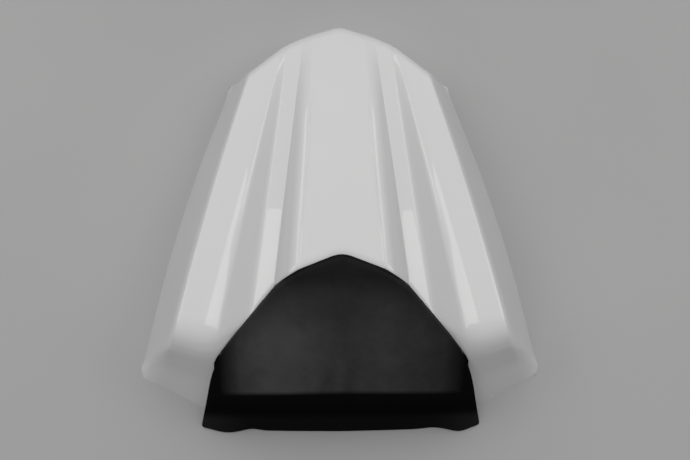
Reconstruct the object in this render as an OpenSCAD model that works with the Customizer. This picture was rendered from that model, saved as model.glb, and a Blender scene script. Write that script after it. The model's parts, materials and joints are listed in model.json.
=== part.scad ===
// Seat cowl for a motorbike: a moulded shell with a padded bump stop, closed by a ribbed pan underneath.
// +X is the rider's right, +Y points to the tail, +Z is up. The rim lies in the plane z = 0.

/* [Shell] */
// Height of the spine at the apex of the pad
spine_h = 100; // [90:1:110]
// Height of the crease along the tail
tail_h = 36; // [32:1:40]
// Drop from the spine's edge into the valley beside the apex
valley_drop = 12; // [8:1:16]
// Half the width of the rim at the front corners
front_half = 159; // [150:1:168]
// Half the width of the rim at the tail corners
tail_half = 94; // [84:1:98]
// Distance from the origin to the rim's front edge
front_y = 148; // [144:1:152]
// Distance from the origin to the tip of the tail
tail_y = 167; // [164:1:172]
// Extra height of the spine and flanks half way along, over a straight line
crown = 9; // [4:1:14]
// Wall of the moulding
wall = 3; // [2.4:0.2:3.4]

/* [Pad] */
// Height of the pad's crown over the rim
crown_h = 98; // [92:1:100]
// Height of the crease between the pad's upper face and its front
crease_h = 57; // [52:1:60]
// Distance from the origin to the pad's front edge
pad_y = 161; // [158:1:164]
// Height of the pad's top edge over the shell
pad_edge = 4.5; // [4:0.5:6]
// Thickness of the vinyl cover
cover_t = 1.2; // [0.8:0.1:1.6]
// Thickness of the moulded board under the foam
board_t = 2.4; // [2:0.2:3]

/* [Pan] */
// Height of the pan's upper face over the rim
pan_z = 27; // [24:1:30]
// Thickness of the pan
pan_t = 3; // [2.5:0.25:4]
// Depth of the pan's edge flange below its upper face
flange_h = 12; // [8:1:16]
// Depth of the ribs under the pan
rib_h = 5; // [3:1:8]

/* [Fixings] */
// Radius of the striker's rod, which the seat latch grips
rod_r = 4; // [3:0.25:5]
// Distance between the centres of the striker's legs
loop_w = 30; // [26:1:36]
// Height of the striker's bar over the rim, to the bar's centre
bar_z = 7; // [6:0.5:9]
// Place of the striker along Y
striker_y = 72; // [66:1:78]
// Width of the steel hook that goes under the frame
hook_w = 34; // [28:1:40]
// Radius of a damper at its foot
damper_r = 10; // [8:0.5:11]

/* [Hidden] */
$fn = 32;
centre_y = 2.6;
hair = 0.05;
pad_gap = 1.35;
foam_gap = 0.6;

// Rails run from the front rim to the tail rim. Each has six stations: the front rim, the knee under the
// pad, the front crease, the middle, the tail crease and the tail rim.
rim_front = [[0, 0], [36, 0], [50, 0], [70, 0.5], [108, 5], [front_half - 17, 23], [front_half - 2, 30]];
knee = [[0, -121, 46], [33, -121, 46], [50, -121, 46], [70, -121, 45], [99, -122, 30],
    [136, -108, 25], [front_half, -111, 0]];
crease = [[0, -30, spine_h], [33, -43, spine_h + 2], [48, -53, spine_h - valley_drop],
    [66, -75, spine_h - valley_drop - 1], [90, -99, spine_h - 35], [129, -91, spine_h - 42],
    [front_half - 3.5, -100, 0]];
tail_crease = [[0, 162, tail_h], [21, 155, tail_h + 1.5], [28, 152.5, tail_h + 1.8],
    [40, 147, tail_h + 2.5], [46, 143.5, tail_h + 2.8], [76.5, 117, tail_h + 5], [tail_half + 0.5, 110, 0]];
rim_tail = [[0, 0], [22, 7], [29, 9.5], [42, 15.5], [49, 19.5], [tail_half - 10, 41], [tail_half - 2.5, 46.5]];
middle_rise = [1, 1.1, 1, 0.94, 0.85, 0.6, 0];
middle_bow = [0, 0, 0, 0, -1, 5, 8];
last = 6;

function mix(a, b, t) = a + (b - a) * t;
function unit(v) = v / max(norm(v), 1e-9);
function rail(j) = [
    [rim_front[j].x, -front_y + rim_front[j].y, 0], knee[j], crease[j],
    mix(crease[j], tail_crease[j], 0.5) + [middle_bow[j], 0, crown * middle_rise[j]],
    tail_crease[j], [rim_tail[j].x, tail_y - rim_tail[j].y, 0]];

// Legs say how far a rounding reaches from a corner towards its neighbours, as shares of the way.
function station_legs(j) = [[0, 0], [0.25, 0.16], j < 4 ? [0.08, 0.06] : [0.35, 0.2], [0.7, 0.7], [0.1, 0.3],
    [0, 0]];
flank_legs = [[0.25, 0.25], [0.12, 0.75], [0.06, 0.06], [0.12, 0.14], [0.14, 0.45], [0.1, 0.14], [0, 0]];
function both_legs(half) = concat([for (j = [len(half) - 1:-1:1]) [half[j][1], half[j][0]]], half);
section_legs = both_legs(flank_legs);

// A point on a rounded path through control points, where whole numbers are the corners.
function turn(P, leg, i, u) =
    let (t = (u - i + leg[0]) / (leg[0] + leg[1]),
        a = mix(P[i], P[i - 1], leg[0]), c = mix(P[i], P[i + 1], leg[1]))
    mix(mix(a, P[i], t), mix(P[i], c, t), t);
function walk(P, legs, u) =
    let (n = len(P) - 1, lo = min(floor(u), n - 1), f = u - lo)
    lo > 0 && f <= legs[lo][1] ? turn(P, legs[lo], lo, u)
    : lo + 1 < n && f >= 1 - legs[lo + 1][0] ? turn(P, legs[lo + 1], lo + 1, u)
    : mix(P[lo], P[lo + 1], f);
function mirrored(half) =
    concat([for (j = [len(half) - 1:-1:1]) [-half[j].x, half[j].y, half[j].z]], half);
// A grid of points over a loft: rails of one side with their legs, and the legs across them.
function loft(rails, legs, across, us, bs) = [for (u = us)
    let (s = mirrored([for (j = [0:len(rails) - 1]) walk(rails[j], legs[j], u)]))
    [for (b = bs) walk(s, across, b)]];
// Stops along a path: n steps over each rounding, and nothing on the straights between them.
function stops(legs, n) =
    concat([0], [for (i = [1:len(legs) - 2]) for (k = [0:n[i]])
        i - legs[i][0] + (legs[i][0] + legs[i][1]) * k / n[i]], [len(legs) - 1]);

shell_u = [0, 0.4, 0.75, 0.89, 1, 1.08, 1.16, 1.65, 1.82, 1.92, 2, 2.06, 2.2, 2.45, 2.7, 3, 3.3, 3.6,
    3.9, 3.98, 4.08, 4.18, 4.3, 5];
shell_b = stops(section_legs, [0, 4, 3, 3, 2, 4, 4, 4, 2, 3, 3, 4, 0]);
function skin(us, bs) =
    loft([for (j = [0:last]) rail(j)], [for (j = [0:last]) station_legs(j)], section_legs, us, bs);

// The unit normal at a place in a grid of points, from its neighbours.
function normal(G, i, k) =
    let (n = len(G) - 1, m = len(G[0]) - 1)
    unit(cross(G[i][min(k + 1, m)] - G[i][max(k - 1, 0)], G[min(i + 1, n)][k] - G[max(i - 1, 0)][k]));
// The grid moved inwards by t. Points of the rim stay in the plane z = 0.
function inward(G, t) = [for (i = [0:len(G) - 1]) [for (k = [0:len(G[0]) - 1])
    let (p = G[i][k], n = normal(G, i, k), flat = [n.x, n.y, 0])
    p.z < 0.01 ? p - flat * t / max(norm(flat), 0.5) ^ 2
    : let (q = p - n * t) [q.x, q.y, max(q.z, 0.4)]]];

// A closed solid between two grids of the same size.
module between(A, B) {
    n = len(A);
    m = len(A[0]);
    function at(i, k, side) = side * n * m + i * m + k;
    function tiles(side) = [for (i = [0:n - 2]) for (k = [0:m - 2]) for (t = [0, 1])
        let (a = at(i, k, side), b = at(i, k + 1, side), c = at(i + 1, k + 1, side), d = at(i + 1, k, side),
            f = t == 0 ? [a, c, b] : [a, d, c])
        side == 0 ? f : [f[2], f[1], f[0]]];
    loop = concat([for (k = [0:m - 2]) [0, k]], [for (i = [0:n - 2]) [i, m - 1]],
        [for (k = [m - 1:-1:1]) [n - 1, k]], [for (i = [n - 1:-1:1]) [i, 0]]);
    w = len(loop);
    band = [for (k = [0:w - 1]) for (t = [0, 1])
        let (p = loop[k], q = loop[(k + 1) % w])
        t == 0 ? [at(p[0], p[1], 0), at(q[0], q[1], 0), at(q[0], q[1], 1)]
        : [at(p[0], p[1], 0), at(q[0], q[1], 1), at(p[0], p[1], 1)]];
    polyhedron([for (row = A) each row, for (row = B) each row], concat(tiles(0), tiles(1), band));
}
function floor_of(G) = [for (row = G) [for (p = row) [p.x, p.y, -1]]];

shell_out = skin(shell_u, shell_b);
shell_in = inward(shell_out, wall);
shell_mid = inward(shell_out, wall / 2);

// Places of the fixings, given for the right side and mirrored.
// The third value is the depth of a pan boss's pilot hole, or the height of a collar's foot.
pan_fix = [[98, -97, 12], [106, -48, 12], [90, 22, 10], [62, 84, 8]];
pad_fix = [[24, -72, 58], [56, -99, 46], [26, -108, 40]];
damper_at = [[62, -72], [48, 30]];
boss_r = 5.5;
collar_r = 8;
module both_sides(list, z) {
    for (p = list) for (s = [-1, 1]) translate([s * p.x, p.y, is_undef(z) ? p.z : z]) children();
}

module drafted(r, grow, h) {
    hull() {
        cylinder(r = r, h = 0.1, $fn = 16);
        translate([0, 0, h]) cylinder(r = r + grow, h = 0.1, $fn = 16);
    }
}

module under_skin() {
    between(shell_mid, floor_of(shell_mid));
}

module shell_bosses() {
    both_sides(pan_fix, pan_z) drafted(boss_r, 1.6, 45);
    both_sides(pad_fix) drafted(collar_r, 1, 40);
}

module shell_ribs() {
    for (y = [-20, 50]) translate([-130, y, 0]) cube([260, 2, 120]);
    for (x = [-1, 1]) translate([x * 34 - 1, -18, 0]) cube([2, 150, 120]);
}

module cowl_shell() {
    color([0.93, 0.93, 0.92]) difference() {
        union() {
            between(shell_out, shell_in);
            intersection() {
                under_skin();
                shell_bosses();
            }
            difference() {
                intersection() {
                    under_skin();
                    shell_ribs();
                }
                translate([0, 0, -9]) under_skin();
            }
        }
        for (p = pan_fix) for (s = [-1, 1]) translate([s * p.x, p.y, pan_z - 1])
            cylinder(r = 1.75, h = p.z + 1, $fn = 14);
        both_sides(pad_fix) translate([0, 0, -1]) cylinder(r = 5.2, h = 45, $fn = 16);
    }
}

// The pad covers the shell's front. Its rails run from the lower edge over the crease and the crown to
// the top edge, and end on the shell. The first three stations are given, for six rails a side.
pad_form = [[[0, 0, 2], [0, 23, crease_h], [0, 83, crown_h]],
    [[38, 0.5, 2], [38, 22, crease_h - 1.5], [33, 75, crown_h - 5]],
    [[58, 1, 2], [57, 23, crease_h - 3.5], [52, 68, crown_h - 14]],
    [[74, 1.5, 2], [70, 24, crease_h - 6.5], [67, 59, crown_h - 22]],
    [[95, 1.5, 2], [80.5, 25, crease_h - 10], [79, 49, crown_h - 32]],
    [[111.5, 4.5, 2], [103, 26, crease_h - 21], [97.5, 44, crown_h - 46]]];
// Where each rail ends along the shell's crease, and how far its top edge stands over that place.
pad_ends = [0, 1, 2, 3, 3.55, 3.92];
pad_tops = [pad_edge, pad_edge - 1, pad_edge + 6, pad_edge, pad_edge, pad_edge - 1];
function pad_rail(j) = let (foot = skin([2], [last + pad_ends[j]])[0][0])
    concat([for (p = pad_form[j]) [p.x, p.y - pad_y, p.z]],
        [foot + [0, -1.5, pad_tops[j]], foot + [0, 0, pad_gap]]);
side_foot = [for (row = skin([0.05, 0.95, 1.5, 1.9, 2], [last + 4])) row[0]];
pad_rails = concat([for (j = [0:5]) pad_rail(j)], [side_foot]);
pad_legs = [[0, 0], [0.18, 0.16], [0.5, 0.45], [0.12, 0.45], [0, 0]];
pad_across = both_legs([[0.12, 0.12], [0.35, 0.35], [0.22, 0.18], [0.3, 0.3], [0.35, 0.3], [0.3, 0.3], [0, 0]]);

function pad_face(us, bs) = loft(pad_rails, [for (r = pad_rails) pad_legs], pad_across, us, bs);
// The face with its top edge and its sides ending on the shell.
function seated(us, bs) =
    let (F = pad_face(us, bs), L = layer(us, bs, pad_gap), n = len(us) - 1, m = len(bs) - 1)
    [for (i = [0:n]) [for (k = [0:m]) i == n || k == 0 || k == m ? L[i][k] : F[i][k]]];
// Places on the shell under places on the pad's face.
function under_u(u) = lookup(u, [[0, 0.05], [1, 0.95], [2, 1.5], [3, 1.93], [4, 2]]);
function under_b(b) = sign(b - last) * lookup(abs(b - last),
    [[0, 0], [1, 1], [2, 2], [3, 3], [4, 3.55], [5, 3.92], [6, 4]]) + last;
function layer(us, bs, height) =
    let (G = skin([for (u = us) under_u(u)], [for (b = bs) under_b(b)])) inward(G, -height);

function both_b(half) = concat([for (k = [len(half) - 1:-1:1]) last - half[k]], [for (b = half) last + b]);
// The same list, drawn in to end at a and b.
function within(list, a, b) = let (lo = list[0], hi = list[len(list) - 1])
    [for (v = list) mix(a, b, (v - lo) / (hi - lo))];
pad_u = [0, 0.45, 0.82, 0.92, 1, 1.08, 1.16, 1.5, 1.75, 2, 2.22, 2.45, 2.88, 2.98, 3.12, 3.28, 3.45, 4];
pad_b = both_b([0, 0.15, 0.6, 1, 1.5, 2, 2.5, 3, 3.6, 3.8, 4, 4.3, 4.7, 4.9, 5.1, 5.3, 6]);
inner_u = [0, 0.5, 0.86, 1, 1.15, 1.6, 2, 2.4, 2.9, 3.1, 3.4, 4];
foam_u = within(inner_u, 0.12, 2.8);
foam_b = within(pad_b, last - 4.85, last + 4.85);
board_u = within(inner_u, 0.25, 2.59);
board_b = within(pad_b, last - 4.15, last + 4.15);

module pad_cover() {
    color([0.06, 0.06, 0.06])
        let (face = seated(pad_u, pad_b)) between(face, inward(face, cover_t));
}

module pad_foam() {
    color([0.35, 0.35, 0.33]) between(inward(pad_face(foam_u, foam_b), cover_t + foam_gap),
        layer(foam_u, foam_b, pad_gap + board_t + foam_gap));
}

module pad_board() {
    color([0.12, 0.12, 0.12]) difference() {
        union() {
            between(layer(board_u, board_b, pad_gap + board_t), layer(board_u, board_b, pad_gap));
            intersection() {
                between(layer(board_u, board_b, pad_gap + board_t / 2),
                    floor_of(layer(board_u, board_b, board_t / 2)));
                both_sides(pad_fix) drafted(4.4, 0.4, 40);
            }
        }
        both_sides(pad_fix) translate([0, 0, -0.5]) cylinder(r = 1.6, h = 12, $fn = 14);
    }
}

// Fasteners
module washer(outer, inner, t) {
    rotate_extrude() translate([inner, 0]) square([outer - inner, t]);
}
module pan_head(head_r, head_h, shank_r, length) {
    rotate_extrude() polygon([[0, -head_h], [head_r * 0.7, -head_h], [head_r, -head_h * 0.55], [head_r, 0],
        [shank_r, 0], [shank_r, length - shank_r], [0, length]]);
}
module hex_bolt(across, head_h, shank_r, length) {
    translate([0, 0, -head_h]) cylinder(r = across / sqrt(3), h = head_h, $fn = 6);
    cylinder(r = shank_r, h = length);
}
module hex_nut(across, h, bore_r) {
    difference() {
        cylinder(r = across / sqrt(3), h = h, $fn = 6);
        translate([0, 0, -1]) cylinder(r = bore_r, h = h + 2);
    }
}

module pad_screws() {
    color([0.5, 0.5, 0.52]) both_sides(pad_fix) translate([0, 0, -1.6]) pan_head(4, 2.6, 1.55, 11);
}
module pad_washers() {
    color([0.62, 0.62, 0.64]) both_sides(pad_fix) translate([0, 0, -1.6 + hair]) washer(9, 2.2, 1.5);
}
module pan_screws() {
    color([0.5, 0.5, 0.52]) for (p = pan_fix) for (s = [-1, 1])
        translate([s * p.x, p.y, pan_z - pan_t - hair]) pan_head(4.5, 2.8, 1.7, pan_t + p.z - 1);
}

// Pan
pan_half = [[64, -122], [93, -115], [121, -102], [130, -87], [112, -14], [90, 56], [72, 104], [38, 136],
    [0, 147]];
module shrunk(by) {
    polygon(concat([for (p = pan_half) p - by * unit(p)],
        [for (k = [len(pan_half) - 2:-1:0])
            let (p = pan_half[k] - by * unit(pan_half[k])) [-p.x, p.y]]));
}
bolt_x = loop_w / 2 + 12;
plate_w = 72;
plate_l = 34;
module base_pan() {
    under = pan_z - pan_t;
    color([0.1, 0.1, 0.1]) difference() {
        union() {
            translate([0, 0, under]) linear_extrude(pan_t) shrunk(0);
            translate([0, 0, pan_z - flange_h]) difference() {
                linear_extrude(flange_h) shrunk(0);
                translate([0, 0, -1]) linear_extrude(flange_h + 2) shrunk(3);
            }
            translate([0, 0, under - rib_h]) intersection() {
                linear_extrude(rib_h + 1) shrunk(1);
                union() {
                    for (y = [-30, 8, 112]) translate([-130, y - 1, 0]) cube([260, 2, rib_h + 1]);
                    for (x = [-78, 78]) translate([x - 1, -130, 0]) cube([2, 250, rib_h + 1]);
                }
            }
            both_sides(damper_at, under - 9) cylinder(r = damper_r + 1.5, h = 10);
        }
        both_sides(pan_fix, under - 1) cylinder(r = 2.3, h = pan_t + 2);
        both_sides(damper_at, under - 10) cylinder(r = 4, h = pan_t + 12);
        for (s = [-1, 1]) {
            translate([s * bolt_x, striker_y, under - 1]) cylinder(r = 3.2, h = pan_t + 2);
            translate([s * 10, hook_y, under - 1]) cylinder(r = 3.2, h = pan_t + 2);
            translate([s * loop_w / 2, striker_y, under - 1]) cylinder(r = rod_r + 0.6, h = pan_t + 2);
        }
    }
}

// Striker: a bent rod whose legs are riveted over a plate on the pan's upper face.
bend_r = 8;
module striker() {
    leg = pan_z + 2.5 - bar_z - bend_r;
    color([0.75, 0.75, 0.78]) {
        for (s = [-1, 1]) {
            translate([s * loop_w / 2, striker_y, bar_z + bend_r]) cylinder(r = rod_r, h = leg);
            translate([s * (loop_w / 2 - bend_r), striker_y, bar_z + bend_r])
                rotate([90, 0, 0]) rotate([0, 0, s > 0 ? -90 : 180])
                    rotate_extrude(angle = 90) translate([bend_r, 0]) circle(r = rod_r);
        }
        translate([-(loop_w / 2 - bend_r), striker_y, bar_z]) rotate([0, 90, 0])
            cylinder(r = rod_r, h = loop_w - 2 * bend_r);
    }
}
module striker_plate() {
    color([0.7, 0.7, 0.72]) translate([0, striker_y, pan_z + hair]) difference() {
        translate([-plate_w / 2, -plate_l / 2, 0]) cube([plate_w, plate_l, 2.5]);
        for (s = [-1, 1]) {
            translate([s * loop_w / 2, 0, -1]) cylinder(r = rod_r + hair, h = 5);
            translate([s * bolt_x, 0, -1]) cylinder(r = 3.2, h = 5);
        }
    }
}

hook_y = -86;
hook_t = 3;
// Steel hook: a strip bolted to the pan, bent down and forwards under the frame's cross tube.
hook_drop = 14;
hook_reach = 26;
module hook_bracket() {
    top = pan_z - pan_t - hair;
    y0 = hook_y + 10;
    color([0.7, 0.7, 0.72]) difference() {
        translate([-hook_w / 2, 0, 0]) rotate([90, 0, 90]) linear_extrude(hook_w) polygon([
            [y0, top], [hook_y - 9, top], [hook_y - 12, top - 3], [hook_y - 12, top - hook_drop],
            [hook_y - 12 - hook_reach, top - hook_drop], [hook_y - 16 - hook_reach, top - hook_drop + 2.4],
            [hook_y - 17 - hook_reach, top - hook_drop], [hook_y - 13 - hook_reach, top - hook_drop - hook_t],
            [hook_y - 11, top - hook_drop - hook_t], [hook_y - 9, top - hook_drop - hook_t + 2],
            [hook_y - 9, top - hook_t - 2], [hook_y - 7, top - hook_t], [y0, top - hook_t]]);
        for (s = [-1, 1]) translate([s * 10, hook_y, top - 6]) cylinder(r = 3.2, h = 10);
    }
}
module hook_bolts() {
    color([0.6, 0.6, 0.62]) for (s = [-1, 1])
        translate([s * 10, hook_y, pan_z - pan_t - hook_t - 2 * hair]) hex_bolt(10, 4, 3, 12);
}
module hook_nuts() {
    color([0.6, 0.6, 0.62]) for (s = [-1, 1]) translate([s * 10, hook_y, pan_z + hair]) hex_nut(10, 5, 3);
}
module striker_bolts() {
    color([0.6, 0.6, 0.62]) for (s = [-1, 1])
        translate([s * bolt_x, striker_y, pan_z - pan_t - hair]) hex_bolt(10, 4, 3, 13);
}
module striker_nuts() {
    color([0.6, 0.6, 0.62]) for (s = [-1, 1])
        translate([s * bolt_x, striker_y, pan_z + 2.5 + 2 * hair]) hex_nut(10, 5, 3);
}

// Dampers: rubber feet with a plug that snaps into the pan.
module damper() {
    seat = pan_z - pan_t - 9;
    color([0.08, 0.08, 0.08]) rotate_extrude() polygon([[0, 1.5], [damper_r - 1.5, 1.5], [damper_r, 3],
        [damper_r - 1, seat - hair], [3.95, seat - hair], [3.95, pan_z + 0.6], [5, pan_z + 1],
        [3.4, pan_z + 3.5], [0, pan_z + 3.5]]);
}
module damper_front_left() { translate([-damper_at[0].x, damper_at[0].y, 0]) damper(); }
module damper_front_right() { translate([damper_at[0].x, damper_at[0].y, 0]) damper(); }
module damper_rear_left() { translate([-damper_at[1].x, damper_at[1].y, 0]) damper(); }
module damper_rear_right() { translate([damper_at[1].x, damper_at[1].y, 0]) damper(); }

// The whole cowl is moved along Y, so that the middle of its length is at the origin.
module centred() {
    translate([0, -centre_y, 0]) children();
}

centred() cowl_shell();
centred() pad_cover();
centred() pad_foam();
centred() pad_board();
centred() pad_screws();
centred() pad_washers();
centred() base_pan();
centred() pan_screws();
centred() striker();
centred() striker_plate();
centred() striker_bolts();
centred() striker_nuts();
centred() hook_bracket();
centred() hook_bolts();
centred() hook_nuts();
centred() damper_front_left();
centred() damper_front_right();
centred() damper_rear_left();
centred() damper_rear_right();
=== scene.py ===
import json
import math

import bpy
import numpy as np
from mathutils import Matrix, Vector
from mathutils.bvhtree import BVHTree


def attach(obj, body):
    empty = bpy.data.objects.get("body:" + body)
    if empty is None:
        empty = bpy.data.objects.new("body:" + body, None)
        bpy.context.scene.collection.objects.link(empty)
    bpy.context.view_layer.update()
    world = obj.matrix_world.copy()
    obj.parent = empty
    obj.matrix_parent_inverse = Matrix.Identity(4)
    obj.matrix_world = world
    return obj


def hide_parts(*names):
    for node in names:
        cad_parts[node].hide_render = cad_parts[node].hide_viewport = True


# The looks of a motorbike seat cowl: a white gloss shell with a black vinyl pad. The scene is in metres,
# the tables of the shell and the pad are in millimetres, and CENTRE_Y is the middle of the length in them.
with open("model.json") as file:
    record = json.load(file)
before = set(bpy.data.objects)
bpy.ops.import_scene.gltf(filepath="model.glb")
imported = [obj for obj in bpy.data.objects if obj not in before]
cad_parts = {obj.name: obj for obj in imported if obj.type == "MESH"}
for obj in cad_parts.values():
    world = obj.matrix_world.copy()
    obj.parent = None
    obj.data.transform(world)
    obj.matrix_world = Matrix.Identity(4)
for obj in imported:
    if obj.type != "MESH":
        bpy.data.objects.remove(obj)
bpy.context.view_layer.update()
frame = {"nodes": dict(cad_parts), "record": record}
scene = bpy.context.scene
MM = 0.001
CENTRE_Y = 2.6

# Camera: almost straight down, a little from the pad's side, as the photograph was taken.
CAMERA_AT = Vector((-10, -97 - CENTRE_Y, 690)) * MM
CAMERA_AIM = Vector((4.4, -CENTRE_Y, 0)) * MM
CAMERA_ROLL = math.radians(0.45)
FOCAL_PX = 850
IMAGE_W = 690
SENSOR_MM = 36


def make_camera():
    data = bpy.data.cameras.new("camera")
    data.sensor_width = SENSOR_MM
    data.lens = FOCAL_PX / IMAGE_W * SENSOR_MM
    camera = bpy.data.objects.new("camera", data)
    scene.collection.objects.link(camera)
    forward = (CAMERA_AIM - CAMERA_AT).normalized()
    right = forward.cross(Vector((math.sin(CAMERA_ROLL), math.cos(CAMERA_ROLL), 0))).normalized()
    up = right.cross(forward)
    turn = Matrix((right, up, -forward)).transposed()
    camera.matrix_world = Matrix.Translation(CAMERA_AT) @ turn.to_4x4()
    scene.camera = camera


# Sky and lights, in metres. A box is two X and two Y, and each side has three, which light its flank.
SKY_LEVEL, SKY_LEAN = -0.34, (0, 0.68, 1.27)
BOXES = [((0.64, 0.84), (0.0, 0.68)), ((0.84, 1.4), (0.0, 0.45)), ((0.95, 1.22), (0.68, 1.7))]
BOX_Z, RADIANCE, WARM = 0.9, 1.7, (1, 1, 0.985)
FRONT_AT, FRONT_AIM, FRONT_SIZE, FRONT_WATTS = (-0.4, -1.3, 0.75), (0, -0.1, 0.05), (0.7, 0.35), 1.5


def area_light(name, at, aim, size, power, tint=(1, 1, 1)):
    data = bpy.data.lights.new(name, "AREA")
    data.shape = "RECTANGLE"
    data.size, data.size_y = size
    data.energy = power
    data.color = tint
    light = bpy.data.objects.new(name, data)
    light.location = at
    light.rotation_euler = (Vector(aim) - Vector(at)).to_track_quat("-Z", "Y").to_euler()
    scene.collection.objects.link(light)


def side_box(xs, ys):
    """A level soft box between two X and two Y, facing down."""
    size = abs(xs[1] - xs[0]), ys[1] - ys[0]
    at = (sum(xs) / 2, sum(ys) / 2, BOX_Z)
    area_light("side_box", at, (at[0], at[1], 0), size, RADIANCE * math.pi * size[0] * size[1], WARM)


def make_lights():
    for side in (-1, 1):
        for xs, ys in BOXES:
            side_box([x * side for x in xs], ys)
    area_light("front", FRONT_AT, FRONT_AIM, FRONT_SIZE, FRONT_WATTS)


def make_sky():
    """A sky that is brighter above and towards the tail, and dark near the horizon."""
    world = bpy.data.worlds.new("studio")
    world.use_nodes = True
    tree = world.node_tree
    place = tree.nodes.new("ShaderNodeTexCoord")
    lean = tree.nodes.new("ShaderNodeVectorMath")
    lean.operation = "DOT_PRODUCT"
    lean.inputs[1].default_value = SKY_LEAN
    total = tree.nodes.new("ShaderNodeMath")
    total.inputs[1].default_value = SKY_LEVEL
    total.use_clamp = True
    tree.nodes["Background"].inputs["Color"].default_value = (1, 1, 1, 1)
    tree.links.new(place.outputs["Generated"], lean.inputs[0])
    tree.links.new(lean.outputs["Value"], total.inputs[0])
    tree.links.new(total.outputs["Value"], tree.nodes["Background"].inputs["Strength"])
    scene.world = world


scene.view_settings.view_transform = "Standard"
make_camera()
make_sky()
make_lights()


# Materials
def grey(level):
    return (level, level, level)


class Material:
    """A node material with short helpers."""

    def __init__(self, name):
        self.data = bpy.data.materials.new(name)
        self.data.use_nodes = True
        self.tree = self.data.node_tree
        self.shader = self.tree.nodes["Principled BSDF"]
        self.place = self.node("ShaderNodeTexCoord").outputs["Object"]

    def node(self, kind, inputs=None, **settings):
        made = self.tree.nodes.new(kind)
        for key, value in settings.items():
            setattr(made, key, value)
        for key, value in (inputs or {}).items():
            if isinstance(value, bpy.types.NodeSocket):
                self.tree.links.new(value, made.inputs[key])
            else:
                made.inputs[key].default_value = value
        return made

    def noise(self, scale, detail=3.0, roughness=0.5):
        return self.node("ShaderNodeTexNoise", {"Vector": self.place, "Scale": scale, "Detail": detail,
                                                "Roughness": roughness}).outputs["Fac"]

    def cells(self, scale):
        return self.node("ShaderNodeTexVoronoi", {"Vector": self.place, "Scale": scale}).outputs["Distance"]

    def span(self, value, low, high, at=(0.3, 0.7)):
        """The value taken from a range to another one, and held at its ends."""
        return self.node("ShaderNodeMapRange", {"Value": value, "From Min": at[0], "From Max": at[1],
                                                "To Min": low, "To Max": high}).outputs["Result"]

    def maths(self, operation, *values):
        return self.node("ShaderNodeMath", dict(enumerate(values)), operation=operation).outputs["Value"]

    def product(self, first, *others):
        for value in others:
            first = self.maths("MULTIPLY", first, value)
        return first

    def colours(self, value, low, high):
        mixed = self.node("ShaderNodeMix", {"Factor": value}, data_type="RGBA")
        mixed.inputs[6].default_value = (*low, 1)
        mixed.inputs[7].default_value = (*high, 1)
        return mixed.outputs[2]

    def bump(self, height, distance, strength, before=None):
        inputs = {"Height": height, "Distance": distance, "Strength": strength}
        if before:
            inputs["Normal"] = before
        return self.node("ShaderNodeBump", inputs).outputs["Normal"]

    def wire(self, **sockets):
        for key, value in sockets.items():
            socket = self.shader.inputs[key.replace("_", " ")]
            if isinstance(value, bpy.types.NodeSocket):
                self.tree.links.new(value, socket)
            else:
                socket.default_value = value
        return self.data


def white_paint():
    m = Material("white_gloss")
    tone = m.colours(m.span(m.noise(6), 0, 1), grey(0.735), grey(0.75))
    peel = m.bump(m.noise(420, 1), 0.00002, 0.35)
    return m.wire(Base_Color=tone, Roughness=m.span(m.noise(60), 0.3, 0.36), Normal=peel, Coat_Weight=1.0,
                  Coat_Roughness=0.03, Coat_IOR=1.5)


# Where the look of the vinyl changes, in metres: along Y, out from the middle, and from left to right.
# These mark where the painted highlights in its colour fade, and where its gloss changes.
VINYL_CREASE, VINYL_FRONT, VINYL_TOP = (-0.1318, -0.1285), (-0.1525, -0.146), (-0.092, -0.05)
VINYL_KEEL, VINYL_FALL, VINYL_SIDE = (0.0, 0.036), (0.042, 0.092), (0.074, 0.09)
VINYL_END, VINYL_WORN, VINYL_LEFT_TO_RIGHT = (0.07, 0.105), (0.055, 0.1), (-0.04, 0.05)
CREASE_BOW = 0.012


def black_vinyl():
    """Grained vinyl with two painted highlights above the crease and a painted reflection strip at its
    lower edge.
    """
    m = Material("black_vinyl")
    at = m.node("ShaderNodeSeparateXYZ", {"Vector": m.place}).outputs
    out = m.maths("ABSOLUTE", at["X"])
    bowed = m.maths("MULTIPLY_ADD", out, CREASE_BOW, at["Y"])
    # Painted highlights in the colour: lighter above the crease, most in two lobes beside the keel.
    face = m.product(m.span(bowed, 0, 1, VINYL_CREASE), m.span(out, 1, 0, VINYL_SIDE))
    # The painted highlights fade towards the top, towards the sides and from left to right.
    low = m.span(at["Y"], 1, 0, VINYL_TOP)
    sides = m.product(m.span(out, 1.05, 0.33, VINYL_FALL), m.span(at["X"], 1.15, 0.68, VINYL_LEFT_TO_RIGHT))
    lobes = m.product(m.span(out, 0.45, 1, VINYL_KEEL), sides)
    patchy = m.span(m.noise(60, 8, 0.7), 0.82, 1.18)
    # Painted reflection: a strip at the lower front edge, lighter towards its ends.
    front = m.product(m.span(at["Y"], 1, 0, VINYL_FRONT), m.span(out, 0.14, 0.42, VINYL_END))
    light = m.maths("ADD", m.product(face, lobes, low, patchy), front)
    tone = m.colours(light, grey(0.005), (0.045, 0.045, 0.0455))
    grain = m.bump(m.cells(900), 0.00012, 0.5)
    creases = m.bump(m.noise(260, 4, 0.65), 0.00015, 0.35, grain)
    gloss = m.product(face, patchy, m.span(out, 1, 0.3, VINYL_WORN), m.span(low, 0.14, 0.43, (0, 1)))
    return m.wire(Base_Color=tone, Roughness=m.span(m.noise(90), 0.42, 0.52), Normal=creases,
                  Specular_IOR_Level=gloss)


def black_moulding():
    m = Material("black_moulding")
    tone = m.colours(m.span(m.noise(14), 0, 1), (0.022, 0.022, 0.023), (0.03, 0.03, 0.031))
    spark = m.bump(m.noise(1500, 2), 0.00006, 0.6)
    return m.wire(Base_Color=tone, Roughness=m.span(m.noise(200), 0.5, 0.62), Normal=spark)


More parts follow.
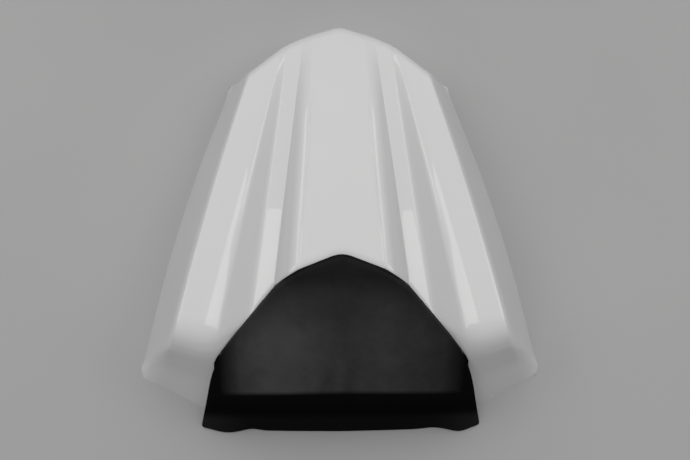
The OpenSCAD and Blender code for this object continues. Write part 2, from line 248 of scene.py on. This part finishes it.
def zinc_steel():
    m = Material("zinc_steel")
    tone = m.colours(m.span(m.noise(45), 0, 1), (0.56, 0.55, 0.5), (0.66, 0.66, 0.65))
    drawn = m.bump(m.noise(800, 2), 0.00004, 0.4)
    return m.wire(Base_Color=tone, Metallic=1.0, Roughness=m.span(m.noise(120), 0.26, 0.4), Normal=drawn)


def black_screw():
    m = Material("black_screw")
    tone = m.colours(m.span(m.noise(90), 0, 1), (0.03, 0.03, 0.032), grey(0.05))
    return m.wire(Base_Color=tone, Metallic=0.8, Roughness=m.span(m.noise(300), 0.35, 0.5),
                  Normal=m.bump(m.noise(900), 0.00003, 0.4))


def damper_rubber():
    m = Material("damper_rubber")
    tone = m.colours(m.span(m.noise(50), 0, 1), grey(0.016), (0.028, 0.028, 0.027))
    return m.wire(Base_Color=tone, Roughness=m.span(m.noise(160), 0.65, 0.8),
                  Normal=m.bump(m.noise(1100, 2), 0.00005, 0.5))


def grey_foam():
    m = Material("foam")
    tone = m.colours(m.span(m.cells(600), 0, 1, (0, 1)), grey(0.1), (0.2, 0.2, 0.19))
    return m.wire(Base_Color=tone, Roughness=0.95, Normal=m.bump(m.cells(700), 0.0006, 0.8))


MATERIALS = {"white_gloss": white_paint(), "black_vinyl": black_vinyl(), "black_moulding": black_moulding(),
             "zinc_steel": zinc_steel(), "black_screw": black_screw(), "damper_rubber": damper_rubber(),
             "foam": grey_foam()}


def dress_nodes():
    """Every carried-over solid takes the material of its slot."""
    for part in frame["record"]["subparts"]:
        solid = frame["nodes"][part["node"]]
        solid.data.materials.clear()
        solid.data.materials.append(MATERIALS[part["material_slot"]])


dress_nodes()

# The skin of the shell, from rails like those of the solids, in millimetres. Its shoulder and the lines
# between its steps are a little higher, as the shading of the photograph shows. Each list goes from the
# middle outwards. A rim is X and the way in from the end, and the other corners of a rail are X, Y and Z.
SPINE_H, TAIL_H, VALLEY_DROP = 100, 36, 12
FRONT_HALF, TAIL_HALF, FRONT_Y, TAIL_Y, CROWN, WALL = 159, 94, 148, 167, 9, 3
RIM_FRONT = [(0, 0), (36, 0), (50, 0), (70, 0.5), (108, 5), (FRONT_HALF - 17, 23), (FRONT_HALF - 2, 30)]
KNEE = [(0, -121, 46), (33, -121, 46), (50, -121, 46), (70, -121, 45), (99, -122, 30), (136, -108, 25),
        (FRONT_HALF, -111, 0)]
CREASE = [(0, -30, SPINE_H), (31, -42.5, SPINE_H + 1.5), (48, -53, SPINE_H - VALLEY_DROP),
          (65, -75, SPINE_H - VALLEY_DROP - 1.5), (96.5, -98, SPINE_H - 31), (125.5, -91, SPINE_H - 35.5),
          (FRONT_HALF - 3.5, -100, 0)]
TAIL_CREASE = [(0, 162, TAIL_H), (21, 155, TAIL_H + 1.5), (28, 152.5, TAIL_H + 1.8),
               (40, 147, TAIL_H + 2.5), (46, 143.5, TAIL_H + 2.8), (71.5, 121, TAIL_H + 5),
               (TAIL_HALF + 0.5, 110, 0)]
RIM_TAIL = [(0, 0), (22, 7), (29, 9.5), (42, 15.5), (49, 19.5), (TAIL_HALF - 10, 41),
            (TAIL_HALF - 2.5, 46.5)]
LAST = len(CREASE) - 1

# Halfway along, a rail rises by a share of CROWN and bows outwards, or inwards with a minus sign. The
# walls beside the spine bulge by a share of their height. BEVEL is the share of the spine's half width
# that slopes down by BEVEL_DROP at its edge, between two places along the rails, and BEVEL_FADE is how
# fast it runs out.
MIDDLE_RISE = [1, 1.1, 1, 0.94, 0.85, 0.6, 0]
MIDDLE_BOW = [0, -2.5, 0, 0, 0, 3, 8]
BULGE = 0.2
BEVEL, BEVEL_DROP, BEVEL_FROM, BEVEL_TO, BEVEL_FADE = 0.1, 0.66, 0.5, 3.6, 2

# How far each corner is rounded, before and after it, as shares of the way to the next corner: across the
# shell, and along a rail, where the crease is sharp up to rail FIRST_SOFT and soft from there on.
FLANK_LEGS = [(0.25, 0.25), (0.03, 0.05), (0.06, 0.06), (0.15, 0.14), (0.25, 0.5), (0.08, 0.12), (0, 0)]
KNEE_LEGS, MIDDLE_LEGS, TAIL_LEGS, END_LEGS = (0.25, 0.16), (0.7, 0.7), (0.1, 0.3), (0, 0)
SHARP_LEGS, SOFT_LEGS, FIRST_SOFT = (0.08, 0.06), (0.35, 0.2), 4
TINY_SPAN, TINY_LENGTH = 1e-6, 1e-9


def both_legs(half):
    """The legs of one side, mirrored to the other."""
    return [(b, a) for a, b in half[:0:-1]] + half


SECTION_LEGS = both_legs(FLANK_LEGS)


def station_legs(j):
    """The legs of the six corners of one rail."""
    crease = SHARP_LEGS if j < FIRST_SOFT else SOFT_LEGS
    return [END_LEGS, KNEE_LEGS, crease, MIDDLE_LEGS, TAIL_LEGS, END_LEGS]


def rail(j):
    """The six corners of one rail, from the front rim to the tail rim."""
    front, tail = np.array(CREASE[j], float), np.array(TAIL_CREASE[j], float)
    middle = (front + tail) / 2 + (MIDDLE_BOW[j], 0, CROWN * MIDDLE_RISE[j])
    return np.array([(RIM_FRONT[j][0], RIM_FRONT[j][1] - FRONT_Y, 0), KNEE[j], front, middle, tail,
                     (RIM_TAIL[j][0], TAIL_Y - RIM_TAIL[j][1], 0)])


def weights(legs, places):
    """How much each corner counts at each place of a rounded path. Whole numbers are the corners."""
    last = len(legs) - 1
    table = np.zeros((len(places), last + 1))
    for row, u in zip(table, places):
        low = min(int(u), last - 1)
        share = u - low
        corner = None
        if low > 0 and share <= legs[low][1]:
            corner = low
        elif low + 1 < last and share >= 1 - legs[low + 1][0]:
            corner = low + 1
        if corner is None:
            row[low], row[low + 1] = 1 - share, share
            continue
        before, after = legs[corner]
        t = (u - corner + before) / (before + after)
        row[corner - 1] = (1 - t) ** 2 * before
        row[corner + 1] = t ** 2 * after
        row[corner] = 1 - row[corner - 1] - row[corner + 1]
    return table


def loft(rails, legs, across, us, bs):
    """A grid of points over rails of one side, which is mirrored to the other."""
    half = np.stack([weights(leg, us) @ line for line, leg in zip(rails, legs)], axis=1)
    section = np.concatenate([half[:, :0:-1] * (-1, 1, 1), half], axis=1)
    return np.einsum("bc,ucx->ubx", weights(across, bs), section)


def skin(us, bs):
    """The shell's outer skin at places along the rails and across them."""
    us, across = np.asarray(us), abs(np.asarray(bs) - LAST)
    rails = [rail(j) for j in range(LAST + 1)]
    legs = [station_legs(j) for j in range(LAST + 1)]
    grid = loft(rails, legs, SECTION_LEGS, us, bs)
    way = np.clip(across - 1, 0, 1)
    wall = weights(legs[1], us) @ rails[1][:, 2] - weights(legs[2], us) @ rails[2][:, 2]
    grid[..., 2] += np.outer(np.maximum(wall, 0), 4 * BULGE * way * (1 - way))
    bevel = np.clip((across - 1) / BEVEL + 1, 0, 1) * (1 - way)
    along = np.clip(np.minimum(us - BEVEL_FROM, BEVEL_FADE * (BEVEL_TO - us)), 0, 1)
    grid[..., 2] -= np.outer(along, BEVEL_DROP * bevel)
    return grid


def normals(grid):
    """The directions that point outwards from a grid, each of length 1."""
    across, along = np.gradient(grid, axis=1), np.gradient(grid, axis=0)
    n = np.cross(across, along)
    return n / np.maximum(np.linalg.norm(n, axis=2, keepdims=True), TINY_LENGTH)


def stops(legs, turn_steps, straight_steps):
    """Places along a rounded path: turn_steps over each rounding, straight_steps over each straight."""
    ends = [0.0]
    for i in range(1, len(legs) - 1):
        ends += [i - legs[i][0], i + legs[i][1]]
    ends.append(len(legs) - 1.0)
    places = [0.0]
    for k in range(len(ends) - 1):
        steps = turn_steps if k % 2 else straight_steps
        span = ends[k + 1] - ends[k]
        if span > TINY_SPAN:
            places += [ends[k] + span * (s + 1) / steps for s in range(steps)]
    return np.array(places)


def add_mesh(name, points, faces, slot, sharp_deg):
    mesh = bpy.data.meshes.new(name)
    placed = (np.asarray(points, float) - (0, CENTRE_Y, 0)) * MM
    mesh.from_pydata([tuple(p) for p in placed], [], faces)
    mesh.validate()
    mesh.shade_smooth()
    mesh.set_sharp_from_angle(angle=math.radians(sharp_deg))
    mesh.materials.append(MATERIALS[slot])
    piece = bpy.data.objects.new(name, mesh)
    scene.collection.objects.link(piece)
    return piece


def quads(rows, cols):
    """The faces of a grid, by the numbers of their corners."""
    index = np.arange(rows * cols).reshape(rows, cols)
    corners = index[:-1, :-1], index[:-1, 1:], index[1:, 1:], index[1:, :-1]
    return np.stack(corners, axis=-1).reshape(-1, 4)


def between(name, upper, lower, slot, sharp_deg):
    """A closed mesh between two grids of the same size."""
    rows, cols = upper.shape[:2]
    count = rows * cols
    index = np.arange(count).reshape(rows, cols)
    top = quads(rows, cols)
    bottom = top[:, ::-1] + count
    loop = np.concatenate([index[0, :-1], index[:-1, -1], index[-1, :0:-1], index[:0:-1, 0]])
    ahead = np.roll(loop, -1)
    band = np.stack([ahead, loop, loop + count, ahead + count], axis=-1)
    points = np.concatenate([upper.reshape(-1, 3), lower.reshape(-1, 3)])
    return add_mesh(name, points, np.concatenate([top, bottom, band]).tolist(), slot, sharp_deg)


# Points below RIM_Z are the rim, and the rest of the inside stays above LEAST_Z. LEAST_FLAT is the least
# level part of a direction that counts, so that the rim can't become too wide.
RIM_Z, LEAST_Z, LEAST_FLAT = 0.01, 0.4, 0.5


def inward(grid, t):
    """The grid moved inwards by t, with the rim kept in its plane."""
    n = normals(grid)
    flat = n * (1, 1, 0)
    size = np.maximum(np.linalg.norm(flat, axis=2, keepdims=True), LEAST_FLAT)
    moved = grid - n * t
    moved[..., 2] = np.maximum(moved[..., 2], LEAST_Z)
    return np.where(grid[..., 2:] < RIM_Z, grid - flat * t / size ** 2, moved)


# Edges above an angle in degrees are sharp. The steps are those of a rounding and of a straight, and there
# is a line of points BEVEL_EASE before the start of the bevel and one after it.
SHELL_SHARP, PAD_SHARP = 50, 60
SHOULDER_STEPS, SPINE_STEPS, SECTION_STEPS = (12, 6), (10, 4), (12, 5)
BEVEL_EASE = 0.008


def make_shell():
    us = [*stops(station_legs(LAST - 1), *SHOULDER_STEPS), *stops(station_legs(0), *SPINE_STEPS)]
    eases = (-BEVEL_EASE, BEVEL_EASE)
    edges = [LAST + side * (1 - BEVEL + ease) for side in (-1, 1) for ease in eases]
    bs = [*stops(SECTION_LEGS, *SECTION_STEPS), *edges]
    outer = skin(np.unique(np.round(us, 5)), np.unique(bs))
    shell = between("shell", outer, inward(outer, WALL), "white_gloss", SHELL_SHARP)
    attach(shell, "root")
    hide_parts("cowl_shell")


make_shell()

# The pad, in millimetres, with a row for each rail from the middle outwards. PAD_FORM is its lower edge,
# its crease and its crown, as X, the way back from PAD_Y and Z. PAD_TOPS is how far its top edge stands
# above the shell, and COVER is the thickness of the vinyl.
CROWN_H, CREASE_H, PAD_Y, PAD_EDGE, PAD_GAP, COVER = 98, 57, 161, 4.5, 0.4, 1.2
PAD_FORM = [[(0, 0, 2), (0, 23, CREASE_H), (0, 83, CROWN_H)],
            [(38, 0.5, 2), (38, 22, CREASE_H - 1.5), (33, 75, CROWN_H - 5)],
            [(58, 1, 2), (57, 23, CREASE_H - 3.5), (52, 68, CROWN_H - 14)],
            [(74, 1.5, 2), (70, 24, CREASE_H - 6.5), (67, 59, CROWN_H - 22)],
            [(95, 1.5, 2), (80.5, 25, CREASE_H - 10), (79, 49, CROWN_H - 32)],
            [(111.5, 4.5, 2), (103, 26, CREASE_H - 21), (97.5, 44, CROWN_H - 46)]]
PAD_TOPS = [PAD_EDGE, PAD_EDGE - 1, PAD_EDGE + 6, PAD_EDGE, PAD_EDGE, PAD_EDGE - 1]
PAD_LEGS = [(0, 0), (0.18, 0.16), (0.5, 0.45), (0.12, 0.45), (0, 0)]
PAD_ACROSS = both_legs([(0.12, 0.12), (0.35, 0.35), (0.22, 0.18), (0.3, 0.3), (0.35, 0.3), (0.3, 0.3),
                        (0, 0)])
PAD_STEPS, PAD_ACROSS_STEPS = (14, 10), (10, 5)
TOP_SET_BACK = 1.5

# Where the pad ends on the shell: the places across the shell's rails, and the shares of the way to the
# shell's crease. UNDER_U is what lies under the corners of a rail, and SIDE_FOOT is the foot of its side.
PAD_ENDS = [0, 1, 2, 3, 3.45, 3.73, 3.93]
TOP_SHARE = [1, 1, 1, 1, 0.935, 0.858, 0.785]
SHELL_CREASE = 2
UNDER_U = [0.05, 0.95, 1.5, 1.93, SHELL_CREASE]
SIDE_FOOT = [0.05, 0.95, 1.3, 1.48, 1.57]

# Slack vinyl. HEM is the X, width and depth of each belly of the lower edge, and a minus sign is a hollow.
# A fold is its height and length. FOLDS_AT and FOLDS_REACH are where the folds are along a rail, WANDER
# bends the long ones, and SHIFT moves the short ones sideways.
HEM = [(-89, 11, 1.6), (94, 10, 2.4), (-70, 7, -1.2), (72, 9, -0.8)]
FOLDS_AT, FOLDS_REACH = 1.32, 0.22
LONG_FOLD, SHORT_FOLD, WANDER, SHIFT = (0.28, 4.7), (0.2, 2.6), (0.8, 11), 1.1

# The pad is kept above the shell by LIFT_LEAST and, away from its edges, by LIFT more. It is measured from
# ABOVE_ALL on the part of the shell's skin in NEAR_U and NEAR_B, which are two places and a count.
LIFT, LIFT_LEAST, LIFT_STEEP, ABOVE_ALL = 2.5, 0.3, 6, 200
NEAR_U, NEAR_B = (0.5, 3, 101), (1, 2 * LAST - 1, 161)


def pad_rails():
    rails = []
    for form, end, share, top in zip(PAD_FORM, PAD_ENDS, TOP_SHARE, PAD_TOPS):
        foot = skin([SHELL_CREASE * share], [LAST + end])[0, 0]
        corners = [np.subtract(p, (0, PAD_Y, 0)) for p in form]
        rails.append(np.array([*corners, foot + (0, -TOP_SET_BACK, top), foot + (0, 0, PAD_GAP)]))
    rails.append(skin(SIDE_FOOT, [LAST + PAD_ENDS[-1]])[:, 0])
    return rails


def shell_under(us, bs):
    """The places on the shell under places on the pad's face, with the pad's gap above it."""
    across = bs - LAST
    under_b = LAST + np.sign(across) * np.interp(abs(across), range(LAST + 1), PAD_ENDS)
    under_u = np.interp(us, range(len(UNDER_U)), UNDER_U)
    shares = np.interp(abs(across), range(LAST + 1), TOP_SHARE)
    columns = [skin(under_u * share, [b])[:, 0] for share, b in zip(shares, under_b)]
    grid = np.stack(columns, axis=1)
    return grid + normals(grid) * PAD_GAP


def seated_face(us, bs):
    """The pad's face, with its top edge and its sides ending on the shell."""
    face = loft(pad_rails(), [PAD_LEGS] * (LAST + 1), PAD_ACROSS, us, bs)
    under = shell_under(us, bs)
    for edge in (np.s_[-1], np.s_[:, 0], np.s_[:, -1]):
        face[edge] = under[edge]
    return face


def hump(x, at, width):
    return np.exp(-((x - at) / width) ** 2)


def ripple(x, fold, shift):
    height, length = fold
    return height * np.sin(x / length + shift)


def waves(face, us):
    """Bellies in the lower edge near its ends, and small folds across the face above the crease."""
    x = face[..., 0]
    low = np.clip(1 - us, 0, 1)[:, None]
    face[..., 1] -= low * sum(depth * hump(x, at, width) for at, width, depth in HEM)
    folds = ripple(x, LONG_FOLD, ripple(x, WANDER, 0)) + ripple(x, SHORT_FOLD, SHIFT)
    face[..., 2] += hump(us, FOLDS_AT, FOLDS_REACH)[:, None] * folds
    return face


def lifted(face, us, bs):
    """The face kept above the shell, by a height that runs out towards its edges."""
    grid = skin(np.linspace(*NEAR_U), np.linspace(*NEAR_B))
    tree = BVHTree.FromPolygons([tuple(p) for p in grid.reshape(-1, 3)], quads(*grid.shape[:2]).tolist())
    for i, u in enumerate(us[:-1]):
        for k, b in enumerate(bs[1:-1], 1):
            x, y, z = face[i, k]
            hit = tree.ray_cast((x, y, ABOVE_ALL), (0, 0, -1))[0]
            if hit:
                to_edge = min(us[-1] - u, LAST - abs(b - LAST))
                face[i, k, 2] = max(z, hit.z + LIFT * min(1, to_edge * LIFT_STEEP) + LIFT_LEAST)
    return face


def make_pad():
    us, bs = stops(PAD_LEGS, *PAD_STEPS), stops(PAD_ACROSS, *PAD_ACROSS_STEPS)
    face = lifted(waves(seated_face(us, bs), us), us, bs)
    pad = between("pad", face, inward(face, COVER), "black_vinyl", PAD_SHARP)
    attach(pad, "root")
    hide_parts("pad_cover")


make_pad()

FLOOR_SIZE = 6


def make_floor():
    bpy.ops.mesh.primitive_plane_add(size=FLOOR_SIZE, location=(0, 0, 0))
    floor = bpy.context.object
    floor.name = "floor"
    m = Material("floor")
    m.wire(Base_Color=m.colours(m.span(m.noise(3), 0, 1), grey(0.46), grey(0.48)), Roughness=0.9)
    floor.data.materials.append(m.data)


make_floor()
